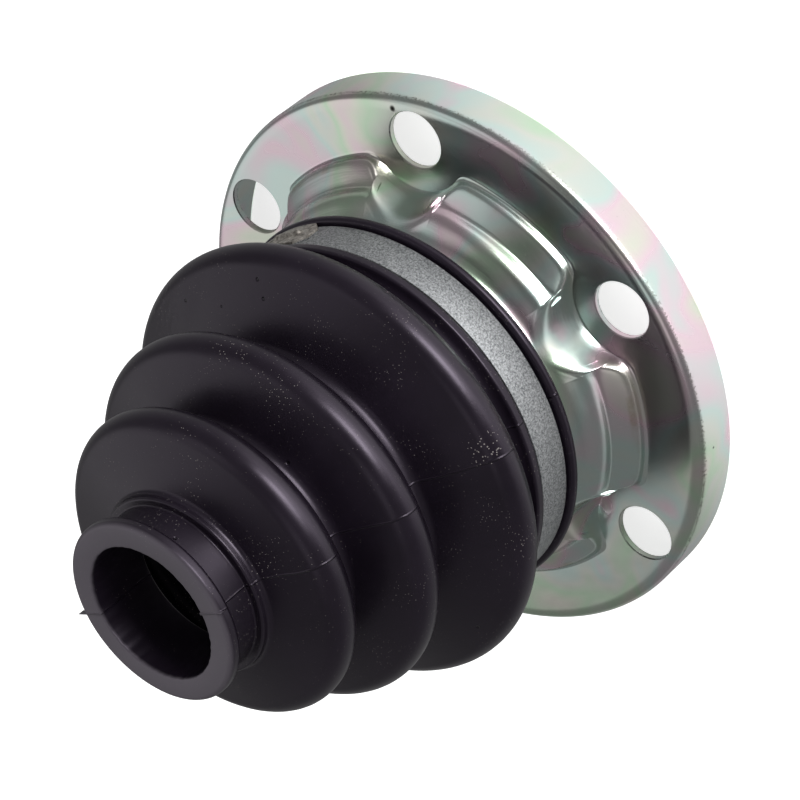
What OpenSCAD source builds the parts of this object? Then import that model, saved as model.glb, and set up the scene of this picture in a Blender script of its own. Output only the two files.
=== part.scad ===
// Drive shaft joint boot: a moulded rubber bellows, held by a steel band on the neck of a pressed
// steel flange cap. It stands on the cap's open rim, with the common axis along Z.

/* [Flange cap] */
// Outside diameter of the neck that carries the boot
neck_d = 62; // [56:0.5:68]
// Thickness of the steel sheet
sheet_t = 1.2; // [0.8:0.1:1.5]
// Width of the shoulder around the neck
shoulder_w = 4.5; // [4:0.1:5.5]
// Height of the shoulder's edge above the lobes
shoulder_h = 2.4; // [2:0.1:3.5]
// Slope of the shoulder up to the neck
shoulder_slope = 33; // [25:1:38]
// Rounding of the shoulder's edge
shoulder_edge_r = 3; // [2:0.1:3.2]
// Rounding between the shoulder and the neck
neck_foot_r = 3.4; // [2:0.1:3.6]
// Length of the neck above the shoulder
neck_l = 11.6; // [10.6:0.2:13]
// Width of the lobes around the shoulder
lobe_w = 4; // [3.4:0.1:5]
// Height of the lobes at the shoulder's foot, above the flat face
lobe_h = 3.7; // [3.2:0.1:5]
// Slope of the lobes up to the shoulder
lobe_slope = 30; // [24:1:32]
// Rounding of the lobes' corners, seen from above
lobe_corner_r = 2.6; // [1.6:0.2:3.2]
// Draft angle of the pressed walls
draft = 9; // [6:1:14]
// Number of bolt holes, with a lobe between each two
bolt_count = 6; // [4:1:7]
// Diameter of a bolt hole
bolt_hole_d = 10; // [8:0.25:11]
// Distance from the lobes' outer foot to the bolt circle
bolt_offset = 3.5; // [3:0.1:5]
// Width of the flat seat around a bolt hole
seat_w = 4.5; // [3.8:0.1:5.2]
// Flat left between a bolt hole and the bend of the skirt
hole_land = 0.4; // [0.2:0.1:4]
// Height of the cap's flat face above its open rim
face_h = 8.5; // [6:0.5:12]
// Outside radius of the bend between the face and the skirt
bend_r = 1.6; // [1.6:0.1:3]

/* [Clamp band] */
// Width of the band
band_w = 6.3; // [5:0.1:8]
// Thickness of the band's strip
band_t = 0.6; // [0.4:0.1:0.8]
// Direction of the tail's tip around the axis
tail_at = 255.8; // [0:1:359]
// Angle over which the tail lies on the band
tail_angle = 46; // [30:1:90]
// Part of that angle over which the tail comes down to the band
ramp_angle = 12; // [8:1:16]
// Cut-off corners of the tail's tip
tail_chamfer = 1.9; // [1:0.1:2.4]
// Length of the raised rib on the tail
rib_l = 5; // [3:0.5:8]
// Radius of the raised rib
rib_r = 0.75; // [0.5:0.05:1]
// Distance of the rib's near end from the tail's tip
rib_from_tip = 3.4; // [2.4:0.2:6]
// Diameter of the tool hole beside the rib
tool_hole_d = 1.3; // [0.8:0.1:1.8]

/* [Boot ends] */
// Gap between the neck's foot and the boot's big end
boot_lift = 2.8; // [2:0.1:3.6]
// Rubber between the neck and the band
seat_wall = 1.9; // [1.5:0.1:2.5]
// Play of the band between the groove's two walls
band_play = 0.9; // [0.5:0.1:1.2]
// Height over the groove's floor of the lip beside the cap
lip_rise = 1.65; // [1.3:0.05:2.4]
// Width of the lip beside the cap
lip_w = 1.7; // [1.6:0.1:3]
// Height over the groove's floor of the lip beside the folds
fold_lip_rise = 1.25; // [1:0.05:2]
// Width of the lip beside the folds
fold_lip_w = 1.9; // [1.5:0.1:2.4]
// Diameter of the shaft's bore in the small end
bore_d = 23.6; // [20:0.2:25]
// Rubber between the shaft and the small end's clamp groove
collar_wall = 2.6; // [2.2:0.1:3.4]
// Width of the small end's clamp groove
collar_w = 5.2; // [4:0.2:8]
// Height over the clamp groove's floor of the small end's lip
end_lip_rise = 1.6; // [1.2:0.05:2.4]
// Width of the small end's lip
end_lip_w = 2.5; // [2:0.1:3.2]
// Height over the clamp groove's floor of the bead that closes it
bead_rise = 1.4; // [1.1:0.05:2]

/* [Boot folds] */
// Rubber wall of the folds
wall = 2.2; // [1.6:0.1:2.5]
// Radius of the first root beyond the neck
root_a_rise = 0.9; // [0.6:0.1:2]
// Depth of the first fold
fold_a = 7.3; // [6:0.1:9]
// Step down from the first crest to the second root
step_b = 13.7; // [12:0.1:15]
// Depth of the middle fold
fold_b = 7.15; // [6:0.1:9]
// Step down from the middle crest to the third root
step_c = 11.85; // [10:0.1:13]
// Depth of the last fold
fold_c = 6.25; // [5:0.1:8]
// Rounding of the crests
crest_r = 3.4; // [2.8:0.1:4]
// Rounding of the roots
root_r = 1.9; // [1.5:0.1:2.3]
// Heights between the roundings of roots and crests, from the big end to the small one
flank_a_low = 1.1; // [0.5:0.1:3]
flank_a_high = 4; // [2:0.1:6]
flank_b_low = 2; // [1:0.1:4]
flank_b_high = 2.15; // [1:0.1:4]
flank_c_low = 0.55; // [0.3:0.05:3]
flank_c_high = 1.9; // [1:0.1:4]

/* [Hidden] */
$fn = 120;

// Largest turn between two points of a rounded edge, and of a bend in the pressed dome
arc_step = 15;
press_step = 41;
wall_steps = 2;
// Clearance of the clamped fits, and overrun of the cuts
fit_gap = 0.05;
overrun = 1;

// Edge rounding of the rubber lips, grooves and bead
lip_edge_r = 0.8;
fold_lip_edge_r = 0.6;
groove_edge_r = 0.3;
end_lip_edge_r = 0.9;
bead_edge_r = 0.45;
bead_root_r = 1;
mouth_edge_r = 0.3;
// Rounding where a pressed wall meets the flat face, and where the shoulder's wall meets the lobes
foot_edge_r = 0.6;
crease_r = 1.2;
// Width over which the lobed dome overlaps the flat ring around it, and the ring's margin
dome_overlap = 1;
dome_margin = 1;

// Cap, from the neck outwards and from the open rim up
neck_r = neck_d/2;
shoulder_r = neck_r + shoulder_w;
lobe_r = shoulder_r + lobe_w;
bolt_circle_r = lobe_r + bolt_offset;
seat_r = bolt_hole_d/2 + seat_w;
cap_r = bolt_circle_r + bolt_hole_d/2 + hole_land + bend_r;
pitch_angle = 360/bolt_count;
wall_angle = draft;
slope_angle = 90 - shoulder_slope;
lobe_angle = 90 - lobe_slope;
lobe_z = face_h + lobe_h;
edge_z = lobe_z + shoulder_h;
edge_r = shoulder_r - shoulder_h*tan(draft);
neck_z = edge_z + (edge_r - neck_r)*tan(shoulder_slope);
neck_top = neck_z + neck_l;

// Boot, radii from the neck and the shaft
groove_r = neck_r + fit_gap + seat_wall;
root_a = neck_r + root_a_rise;
crest_a = root_a + fold_a;
root_b = crest_a - step_b;
crest_b = root_b + fold_b;
root_c = crest_b - step_c;
crest_c = root_c + fold_c;
bore_r = bore_d/2;
collar_r = bore_r + collar_wall;
bead_r = collar_r + bead_rise;

// Boot, heights from the neck's foot up
boot_z = neck_z + boot_lift;
groove_z = boot_z + lip_w;
groove_top = groove_z + band_w + band_play;
fold_lip_top = groove_top + fold_lip_w;
turn_h = root_r + crest_r;
root_a_z = fold_lip_top + root_r;
crest_a_z = root_a_z + turn_h + flank_a_low;
root_b_z = crest_a_z + turn_h + flank_a_high;
crest_b_z = root_b_z + turn_h + flank_b_low;
root_c_z = crest_b_z + turn_h + flank_b_high;
crest_c_z = root_c_z + turn_h + flank_c_low;
bead_root_z = crest_c_z + crest_r + flank_c_high + bead_root_r;
bead_z = bead_root_z + bead_edge_r*2;
collar_top = bead_z + collar_w;
boot_top = collar_top + end_lip_w;
// The floor of the last fold meets the shaft's bore this far below the bead's top
bore_foot_z = bead_z - wall - bead_root_r*2;

band_z = (groove_z + groove_top)/2;
band_in_r = groove_r + fit_gap;
band_out_r = band_in_r + band_t;
tail_out_r = band_out_r + band_t;
// The tail reaches into the band by one share of the strip's thickness, and its ramp by another
tail_root_share = 0.5;
ramp_root_share = 0.25;
tail_in_r = band_out_r - band_t*tail_root_share;

// Places of the dome's sections, as shares: over a seat, over a lobe's corner and along the lobe
seat_share = [0.4, 0.75];
corner_share = [0.35, 0.7, 1];
lobe_share = 0.4;
// Spacing of the points where a seat cuts the shoulder away, as a share of the way to the neck
cut_away_share = 0.02;
// Shares of the way from a wall's foot to the neck that the wall and its rounded top take up,
// from the middle of a seat outwards to the lobe
reach_share = [0.8, 0.6, 0.25, 0.106];
// A wall's top is never steeper than this share of the wall's own steepness
steep_share = 0.5;

// Rounded paths. A path runs with the material on its left, from circle to circle. Each circle is
// [radius from the axis, height, signed rounding], negative for a hollow. Angles are those of the
// surface's outward normal: 0 faces away from the axis and 90 faces up.

// Circle that rounds the corner at [r, z] between faces with normals a and b
function corner(r, z, a, b, s) =
    let (k = s/(1 + cos(a - b)))
    [r - k*(cos(a) + cos(b)), z - k*(sin(a) + sin(b)), s];

// Normal of the straight flank that joins two circles
function flank(p, q) =
    let (dr = q[0] - p[0], dz = q[1] - p[1])
    let (a = atan2(dz, dr) - acos((p[2] - q[2])/norm([dr, dz])))
    a < -180 ? a + 360 : a;

// Points of one rounding in n steps, moved inwards by off
function arc(c, a, b, n, off = 0) =
    let (s = c[2] - off)
    [for (i = [0:n]) let (t = a + (b - a)*i/n) [c[0] + s*cos(t), c[1] + s*sin(t)]];

// Path along a list of circles, moved inwards by off, from the first normal to the last
function path(circles, first, last, off = 0, step = arc_step) =
    let (n = len(circles) - 1)
    [for (i = [0:n])
        let (a = i == 0 ? first : flank(circles[i - 1], circles[i]))
        let (b = i == n ? last : flank(circles[i], circles[i + 1]))
        each arc(circles[i], a, b, max(1, ceil(abs(b - a)/step)), off)];

function reversed(p) = [for (i = [len(p) - 1:-1:0]) p[i]];

// Boot

function crest(r, z) = [r - crest_r, z, crest_r];
function root(r, z) = [r + root_r, z, -root_r];

folds = [
    root(root_a, root_a_z),
    crest(crest_a, crest_a_z),
    root(root_b, root_b_z),
    crest(crest_b, crest_b_z),
    root(root_c, root_c_z),
    crest(crest_c, crest_c_z)
];

big_end = [
    corner(groove_r + lip_rise, boot_z, -90, 0, lip_edge_r),
    corner(groove_r + lip_rise, groove_z, 0, 90, lip_edge_r),
    corner(groove_r, groove_z, 90, 0, -groove_edge_r),
    corner(groove_r, groove_top, 0, -90, -groove_edge_r),
    corner(groove_r + fold_lip_rise, groove_top, -90, 0, fold_lip_edge_r),
    corner(groove_r + fold_lip_rise, fold_lip_top, 0, 90, fold_lip_edge_r)
];

small_end = [
    [bead_r + bead_root_r, bead_root_z, -bead_root_r],
    corner(bead_r, bead_z, 0, 90, bead_edge_r),
    corner(collar_r, bead_z, 90, 0, -groove_edge_r),
    corner(collar_r, collar_top, 0, -90, -groove_edge_r),
    corner(collar_r + end_lip_rise, collar_top, -90, 0, lip_edge_r),
    corner(collar_r + end_lip_rise, boot_top, 0, 90, end_lip_edge_r)
];

// Lower end of the shaft's bore, where the path along the folds' inner side turns up into it
bore_foot = [bore_r + mouth_edge_r, bore_foot_z + mouth_edge_r, wall - mouth_edge_r];

outside = path(concat(big_end, folds, small_end), -90, 90);
inside = path(concat(folds, [bore_foot]), 0, 0, wall);

module bellows_boot() {
    seat_in_r = neck_r + fit_gap;
    step_z = neck_top + fit_gap;
    color("#2b292e")
    rotate_extrude()
    polygon(concat(
        outside,
        [[bore_r + mouth_edge_r, boot_top], [bore_r, boot_top - mouth_edge_r]],
        reversed(inside),
        [[inside[0][0], step_z], [seat_in_r, step_z], [seat_in_r, boot_z]]
    ));
}

// Clamp band

// Part of a ring's wall, from one direction to another
module ring_wall(in_r, out_r, low, high, from, angle) {
    rotate([0, 0, from])
    rotate_extrude(angle = angle)
    translate([in_r, low])
    square([out_r - in_r, high - low]);
}

// Cuts one corner off the tail's tip, which lies at angle zero
module tip_cut(side) {
    translate([tail_out_r, 0, side*band_w/2])
    rotate([45, 0, 0])
    cube([band_t*4, tail_chamfer*sqrt(2), tail_chamfer*sqrt(2)], center = true);
}

// Takes the tail's far end off along a flat ramp, down into the band under it
module ramp_cut() {
    from = tail_out_r*[cos(tail_angle - ramp_angle), sin(tail_angle - ramp_angle)];
    to = (band_out_r - band_t*ramp_root_share)*[cos(tail_angle), sin(tail_angle)];
    run = to - from;
    translate([from[0], from[1], -band_w/2 - overrun])
    rotate([0, 0, atan2(run[1], run[0])])
    translate([0, -tail_out_r, 0])
    cube([norm(run)*2, tail_out_r, band_w + overrun*2]);
}

// Raised rib, pressed out of the tail along its middle
module rib() {
    rib_angle = rib_l/tail_out_r*180/PI;
    first = rib_from_tip/tail_out_r*180/PI;
    rotate([0, 0, first])
    rotate_extrude(angle = rib_angle)
    translate([tail_out_r, 0])
    circle(rib_r);
}

module clamp_band() {
    hole_at = (rib_from_tip + rib_l + rib_r + tool_hole_d)/tail_out_r*180/PI;
    color("#8b8e90")
    translate([0, 0, band_z])
    difference() {
        union() {
            ring_wall(band_in_r, band_out_r, -band_w/2, band_w/2, 0, 360);
            rotate([0, 0, tail_at])
            difference() {
                union() {
                    ring_wall(tail_in_r, tail_out_r, -band_w/2, band_w/2, 0, tail_angle);
                    rib();
                }
                tip_cut(1);
                tip_cut(-1);
                ramp_cut();
            }
        }
        cylinder(h = band_w + overrun*2, r = band_in_r, center = true);
        rotate([0, 0, tail_at + hole_at])
        translate([band_out_r, 0, 0])
        rotate([0, 90, 0])
        cylinder(h = tail_out_r, d = tool_hole_d);
    }
}

// Flange cap

// Angle from a direction to the nearest bolt hole
function off_hole(a) = abs(a - pitch_angle*round(a/pitch_angle));

// Angles, from a bolt hole, at which the lobe's corner meets its outer edge and the seat's edge
corner_at_r = lobe_r - lobe_corner_r;
corner_reach = seat_r + lobe_corner_r;
corner_at = acos((pow(bolt_circle_r, 2) + pow(corner_at_r, 2) - pow(corner_reach, 2))
    /(2*bolt_circle_r*corner_at_r));
corner_step = [corner_at_r*cos(corner_at) - bolt_circle_r, corner_at_r*sin(corner_at)]*seat_r/corner_reach;
seat_at = atan2(corner_step[1], bolt_circle_r + corner_step[0]);

// Radius of the dome's foot in a direction: the lobe, its rounded corner or the edge of a seat
function foot_r(a) =
    let (d = off_hole(a), e = d - corner_at)
    d >= corner_at ? lobe_r
    : d >= seat_at ? corner_at_r*cos(e) + sqrt(pow(lobe_corner_r, 2) - pow(corner_at_r*sin(e), 2))
    : bolt_circle_r*cos(d) - sqrt(pow(seat_r, 2) - pow(bolt_circle_r*sin(d), 2));

// Section of the dome through a lobe, from the lobe's slope over the shoulder to the neck's foot.
// The last rounding stops short of the neck's wall, and runs straight on into it.
root_angle = 12;
shoulder_path = path([
    corner(shoulder_r, lobe_z, lobe_angle, wall_angle, -crease_r),
    corner(edge_r, edge_z, wall_angle, slope_angle, shoulder_edge_r),
    corner(neck_r, neck_z, slope_angle, 0, -neck_foot_r)
], lobe_angle, root_angle, step = press_step);
shoulder_last = len(shoulder_path) - 1;
lobe_end = [cap_r, lobe_z - (cap_r - shoulder_r)*tan(lobe_slope)];
dome_table = concat(reversed(shoulder_path), [lobe_end]);
function dome_z(r) = lookup(r, dome_table);

// Steepness of the dome where a wall's top meets it
neck_foot_in = neck_r + neck_foot_r;
function dome_fall(r) =
    let (c = (neck_foot_in - r)/neck_foot_r)
    c > cos(slope_angle) ? c/sqrt(1 - c*c)
    : lookup(r, [[edge_r, tan(shoulder_slope)], [shoulder_r, tan(lobe_slope)]]);

// How far inwards a wall reaches from its foot, and the foot that belongs to a top's radius
seat_foot_r = bolt_circle_r - seat_r;
reach_last = len(reach_share) - 1;
reach_table = [for (i = [0:reach_last]) [seat_foot_r + (lobe_r - seat_foot_r)*i/reach_last, reach_share[i]]];
function reach(foot) = (foot - neck_r)*lookup(foot, reach_table);
top_count = 24;
top_table = [for (i = [0:top_count])
    let (foot = seat_foot_r + (lobe_r - seat_foot_r)*i/top_count) [foot - reach(foot), foot]];

// Wall from the flat face up to the dome, as [inwards from the foot, height above the face]
function wall_path(foot) =
    let (run = reach(foot), rise = dome_z(foot - run) - face_h)
    let (fall = min(dome_fall(foot - run), rise/run*steep_share))
    let (high = (rise - fall*run)/(1 - fall*tan(draft)), in = high*tan(draft))
    let (top_angle = atan2(1, fall), tangent = (run - in)*norm([1, fall]))
    let (top_r = tangent/tan((top_angle - wall_angle)/2))
    concat(
        arc(corner(0, 0, 90, wall_angle, -foot_edge_r), 90, wall_angle, wall_steps),
        arc(corner(-in, high, wall_angle, top_angle, top_r), wall_angle, top_angle, wall_steps)
    );

flat_r = lobe_r + dome_margin + dome_overlap;
ring_in_r = lobe_r + dome_margin;
// The dome's flat rim reaches past the ring's edge, and its last flat row lies inside that edge
flat_row_share = 0.8;
// The dome's skin and lining end inside the neck's wall, at these shares of the sheet
skin_root_share = 0.3;
lining_root_share = 0.9;
skin_in_r = neck_r - sheet_t*skin_root_share;
dome_in_r = neck_r - sheet_t*lining_root_share;
neck_foot = shoulder_path[shoulder_last];
skin_end = [skin_in_r, neck_foot[1] + (neck_foot[0] - skin_in_r)/tan(root_angle)];

// Section of the dome's outer skin in one direction, as [radius, height]
function section(a) =
    let (foot = foot_r(a), from = foot - reach(foot))
    let (over = [for (k = [0:shoulder_last])
        min(shoulder_path[k][0], from + (dome_in_r - from)*cut_away_share*(k + 1))])
    concat(
        [[flat_r, face_h], [lobe_r + dome_margin*flat_row_share, face_h]],
        [for (p = wall_path(foot)) [foot + p[0], face_h + p[1]]],
        [for (r = over) [r, dome_z(r)]],
        [skin_end]
    );

// Angles from a bolt hole at which the seat's wall cuts through the shoulder, from the slope's end
// through both ends of the rounded edge to the crease
cuts = [6, 5, 3, 1];
cut_at = [for (k = cuts) let (foot = lookup(shoulder_path[k][0], top_table))
    acos((pow(bolt_circle_r, 2) + pow(foot, 2) - pow(seat_r, 2))/(2*bolt_circle_r*foot))];
corner_from = max(cut_at[len(cuts) - 1], seat_at);
half_lobe = concat(
    cut_at[0]*seat_share,
    cut_at,
    [for (s = corner_share) corner_from + (corner_at - corner_from)*s],
    [corner_at + (pitch_angle/2 - corner_at)*lobe_share]
);
directions = [for (k = [0:bolt_count - 1]) each concat(
    [k*pitch_angle],
    [for (a = half_lobe) k*pitch_angle + a],
    [k*pitch_angle + pitch_angle/2],
    [for (a = reversed(half_lobe)) (k + 1)*pitch_angle - a]
)];

function unit(v) = v/norm(v);
function held_out(p, r) = let (d = norm([p[0], p[1]])) d < r ? [p[0]*r/d, p[1]*r/d, p[2]] : p;

// Pressed dome as one closed shell: the outer skin, and the same skin moved in by the sheet
module dome() {
    skin = [for (a = directions) [for (p = section(a)) [p[0]*cos(a), p[0]*sin(a), p[1]]]];
    n = len(skin);
    m = len(skin[0]);
    lining = [for (i = [0:n - 1]) [for (j = [0:m - 1])
        let (
            inward = skin[i][min(j + 1, m - 1)] - skin[i][max(j - 1, 0)],
            around = skin[(i + 1)%n][j] - skin[(i + n - 1)%n][j]
        )
        held_out(skin[i][j] - sheet_t*unit(cross(around, inward)), dome_in_r)
    ]];
    points = [for (sheet = [skin, lining]) for (row = sheet) each row];
    faces = [for (i = [0:n - 1]) let (here = i*m, next = (i + 1)%n*m, under = n*m) each concat(
        [for (j = [0:m - 2]) [here + j, here + j + 1, next + j + 1, next + j]],
        [for (j = [0:m - 2]) [under + here + j, under + next + j, under + next + j + 1, under + here + j + 1]],
        [[here, next, under + next, under + here]],
        [[next + m - 1, here + m - 1, under + here + m - 1, under + next + m - 1]]
    )];
    polyhedron(points, faces, convexity = 6);
}

module flange_cap() {
    bend = [corner(cap_r, face_h, 0, 90, bend_r)];
    in_r = neck_r - sheet_t;
    color("#b9bdb4")
    difference() {
        union() {
            rotate_extrude()
            polygon(concat(
                [[cap_r, 0]],
                path(bend, 0, 90),
                [[ring_in_r, face_h], [ring_in_r, face_h - sheet_t]],
                reversed(path(bend, 0, 90, sheet_t)),
                [[cap_r - sheet_t, 0]]
            ));
            dome();
            rotate_extrude()
            polygon([[in_r, neck_foot[1]], [neck_r, neck_foot[1]], [neck_r, neck_top], [in_r, neck_top]]);
        }
        for (k = [0:bolt_count - 1])
            rotate([0, 0, k*pitch_angle])
            translate([bolt_circle_r, 0, face_h - sheet_t - overrun])
            cylinder(h = sheet_t + overrun*2, d = bolt_hole_d);
    }
}

bellows_boot();
clamp_band();
flange_cap();
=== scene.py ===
# Drive shaft joint boot: a moulded rubber bellows, its steel clamp band and a zinc plated flange cap.
# It stands on the cap's open rim. Sizes are in millimetres and become metres when a mesh is made.
import math

import bpy
from mathutils import Matrix, Vector, noise


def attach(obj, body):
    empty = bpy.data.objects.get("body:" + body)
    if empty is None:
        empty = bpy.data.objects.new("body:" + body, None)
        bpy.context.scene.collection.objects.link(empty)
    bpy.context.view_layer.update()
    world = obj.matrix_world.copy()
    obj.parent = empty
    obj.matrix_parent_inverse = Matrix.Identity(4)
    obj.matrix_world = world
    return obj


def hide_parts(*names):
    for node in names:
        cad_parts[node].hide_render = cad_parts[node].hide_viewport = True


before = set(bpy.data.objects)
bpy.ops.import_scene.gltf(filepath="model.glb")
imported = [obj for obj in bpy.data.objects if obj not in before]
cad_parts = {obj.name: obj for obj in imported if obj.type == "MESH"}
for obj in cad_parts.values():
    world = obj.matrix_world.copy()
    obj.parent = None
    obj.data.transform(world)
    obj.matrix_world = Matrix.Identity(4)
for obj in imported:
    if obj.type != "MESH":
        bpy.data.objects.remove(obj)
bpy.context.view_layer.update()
mm = 0.001


def hexColour(code):
    # sRGB hex to linear
    parts = [int(code[i:i + 2], 16) / 255 for i in (1, 3, 5)]
    return [p / 12.92 if p <= 0.04045 else ((p + 0.055) / 1.055) ** 2.4 for p in parts] + [1.0]


def addNode(tree, kind, settings=None, links=None):
    node = tree.nodes.new("ShaderNode" + kind)
    for name, value in (settings or {}).items():
        if isinstance(name, int) or name in node.inputs:
            node.inputs[name].default_value = value
        else:
            setattr(node, name, value)
    for name, source in (links or {}).items():
        tree.links.new(source, node.inputs[name])
    return node


def nearSpot(tree, place, spot):
    # One at a spot, zero beyond its radius
    away = addNode(tree, "VectorMath", {"operation": "DISTANCE", 1: tuple(v * mm for v in spot[:3])},
                   {0: place})
    return addNode(tree, "MapRange", {
        "interpolation_type": "SMOOTHSTEP", "From Min": spot[3] * 0.3 * mm, "From Max": spot[3] * mm,
        "To Min": 1.0, "To Max": 0.0}, {"Value": away.outputs["Value"]}).outputs[0]


def newMaterial(name):
    material = bpy.data.materials.new(name)
    material.use_nodes = True
    material.node_tree.nodes.clear()
    return material, material.node_tree


def newPiece(name):
    # The primitive that was just added, alone selected
    piece = bpy.context.active_object
    piece.name = name
    piece.data.name = name
    return piece


def placeVertices(piece, points):
    piece.data.vertices.foreach_set("co", [value * mm for point in points for value in point])
    piece.data.update()


def choose(*pieces):
    bpy.ops.object.select_all(action="DESELECT")
    for piece in pieces:
        piece.select_set(True)
    bpy.context.view_layer.objects.active = pieces[0]


def spinProfile(name, profile, steps):
    # A closed profile of [radius, height] points, turned once round the axis
    bpy.ops.object.select_all(action="DESELECT")
    bpy.ops.mesh.primitive_circle_add(vertices=len(profile), radius=mm)
    piece = newPiece(name)
    placeVertices(piece, [(r, 0, z) for r, z in profile])
    bpy.ops.object.mode_set(mode="EDIT")
    bpy.ops.mesh.select_all(action="SELECT")
    bpy.ops.mesh.spin(steps=steps, angle=math.tau, center=(0, 0, 0), axis=(0, 0, 1))
    bpy.ops.mesh.select_all(action="SELECT")
    bpy.ops.mesh.remove_doubles(threshold=0.001 * mm)
    bpy.ops.mesh.normals_make_consistent(inside=False)
    bpy.ops.object.mode_set(mode="OBJECT")
    return piece


def gridPiece(name, rows):
    # A sheet through rows of points
    bpy.ops.object.select_all(action="DESELECT")
    bpy.ops.mesh.primitive_grid_add(
        x_subdivisions=len(rows[0]) - 1, y_subdivisions=len(rows) - 1, size=mm)
    piece = newPiece(name)
    placeVertices(piece, [point for row in rows for point in row])
    return piece


def applyModifier(piece, name, kind, **settings):
    choose(piece)
    modifier = piece.modifiers.new(name, kind)
    for key, value in settings.items():
        setattr(modifier, key, value)
    bpy.ops.object.modifier_apply(modifier=name)


def finishPiece(piece, material, slotName, smoothAngle, *nodes):
    choose(piece)
    bpy.ops.object.shade_smooth_by_angle(angle=math.radians(smoothAngle))
    piece.data.materials.clear()
    piece.data.materials.append(material)
    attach(piece, "root")
    if nodes:
        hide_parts(*nodes)


# Rounded paths. A circle is (radius from the axis, height, signed rounding), negative for a hollow.
# Angles are those of the outward normal in degrees: 0 faces away from the axis and 90 faces up.
def cosd(a):
    return math.cos(math.radians(a))


def sind(a):
    return math.sin(math.radians(a))


def corner(r, z, a, b, s):
    k = s / (1 + cosd(a - b))
    return (r - k * (cosd(a) + cosd(b)), z - k * (sind(a) + sind(b)), s)


def flank(p, q):
    dr, dz = q[0] - p[0], q[1] - p[1]
    angle = math.degrees(math.atan2(dz, dr) - math.acos((p[2] - q[2]) / math.hypot(dr, dz)))
    return angle + 360 if angle < -135 else angle


def roundedPath(circles, first, last, inset=0.0, step=9.0):
    points = []
    for i, (r, z, s) in enumerate(circles):
        a = first if i == 0 else flank(circles[i - 1], circles[i])
        b = last if i == len(circles) - 1 else flank(circles[i], circles[i + 1])
        count = max(1, math.ceil(abs(b - a) / step))
        for n in range(count + 1):
            t = a + (b - a) * n / count
            points.append((r + (s - inset) * cosd(t), z + (s - inset) * sind(t)))
    return points


# Flange cap: one pressed steel sheet
cap = {
    "radius": 50.0, "sheet": 1.2, "faceHeight": 8.5, "bend": 1.6,
    "holes": 6, "holeCircle": 43.0, "holeRadius": 5.0, "holeEdge": 0.18,
    "seatRadius": 9.5, "lobeRadius": 39.5, "lobeCorner": 2.6, "lobeHeight": 3.7, "lobeSlope": 30.0,
    "draft": 9.0, "footEdge": 0.6, "crease": 1.2, "shoulderEdge": 3.0, "neckFoot": 3.4,
    "shoulderRadius": 35.5, "shoulderHeight": 2.4, "slope": 33.0,
    "neckRadius": 31.0, "neckLength": 11.6,
    "bendLead": 5.0, "bendLeadAngle": 12.0,
    # Shares of the way from a wall's foot to the neck that the wall takes up, from seat to lobe
    "reach": [0.8, 0.6, 0.25, 0.106], "steepShare": 0.5,
    # Passes that round over the pressed walls, and their weight beside the seats and on the lobes
    "passes": 36, "seatWeight": 1.0, "lobeWeight": 0.12,
}
pitch = 360 / cap["holes"]
slopeNormal = 90 - cap["slope"]
lobeNormal = 90 - cap["lobeSlope"]
lobeZ = cap["faceHeight"] + cap["lobeHeight"]
edgeZ = lobeZ + cap["shoulderHeight"]
edgeR = cap["shoulderRadius"] - cap["shoulderHeight"] * math.tan(math.radians(cap["draft"]))
neckZ = edgeZ + (edgeR - cap["neckRadius"]) * math.tan(math.radians(cap["slope"]))
neckTop = neckZ + cap["neckLength"]

shoulderPath = roundedPath([
    corner(cap["shoulderRadius"], lobeZ, lobeNormal, cap["draft"], -cap["crease"]),
    corner(edgeR, edgeZ, cap["draft"], slopeNormal, cap["shoulderEdge"]),
    corner(cap["neckRadius"], neckZ, slopeNormal, 0, -cap["neckFoot"]),
], lobeNormal, 0, step=7)


def mix(a, b, share):
    return a + (b - a) * share


def lookUp(x, table):
    # Straight lines between [x, y] points, flat beyond them
    if x <= table[0][0]:
        return table[0][1]
    for p, q in zip(table, table[1:]):
        if x <= q[0]:
            return mix(p[1], q[1], (x - p[0]) / (q[0] - p[0])) if q[0] > p[0] else q[1]
    return table[-1][1]


lobeFall = math.tan(math.radians(cap["lobeSlope"]))
domeTable = [list(point) for point in reversed(shoulderPath)]
domeTable.append([cap["radius"], lobeZ - (cap["radius"] - cap["shoulderRadius"]) * lobeFall])
fallTable = [[edgeR, math.tan(math.radians(cap["slope"]))], [cap["shoulderRadius"], lobeFall]]


def domeFall(r):
    # Steepness of the dome where a wall's top meets it
    c = (cap["neckRadius"] + cap["neckFoot"] - r) / cap["neckFoot"]
    return c / math.sqrt(1 - c * c) if c > cosd(slopeNormal) else lookUp(r, fallTable)


seatFoot = cap["holeCircle"] - cap["seatRadius"]
reachTable = [[mix(seatFoot, cap["lobeRadius"], n / 3), share] for n, share in enumerate(cap["reach"])]


def reach(foot):
    return (foot - cap["neckRadius"]) * lookUp(foot, reachTable)


def arcPoints(circle, a, b, count):
    r, z, s = circle
    return [(r + s * cosd(mix(a, b, n / count)), z + s * sind(mix(a, b, n / count)))
            for n in range(count + 1)]


def wallPath(foot):
    # Wall from the flat face up to the dome: inwards from the foot, and height above the face
    run = reach(foot)
    rise = lookUp(foot - run, domeTable) - cap["faceHeight"]
    fall = min(domeFall(foot - run), rise / run * cap["steepShare"])
    lean = math.tan(math.radians(cap["draft"]))
    high = (rise - fall * run) / (1 - fall * lean)
    topNormal = math.degrees(math.atan2(1, fall))
    topRound = (run - high * lean) * math.hypot(1, fall) / math.tan(
        math.radians(topNormal - cap["draft"]) / 2)
    return arcPoints(corner(0, 0, 90, cap["draft"], -cap["footEdge"]), 90, cap["draft"], 6) + arcPoints(
        corner(-high * lean, high, cap["draft"], topNormal, topRound), cap["draft"], topNormal, 9)


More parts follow.
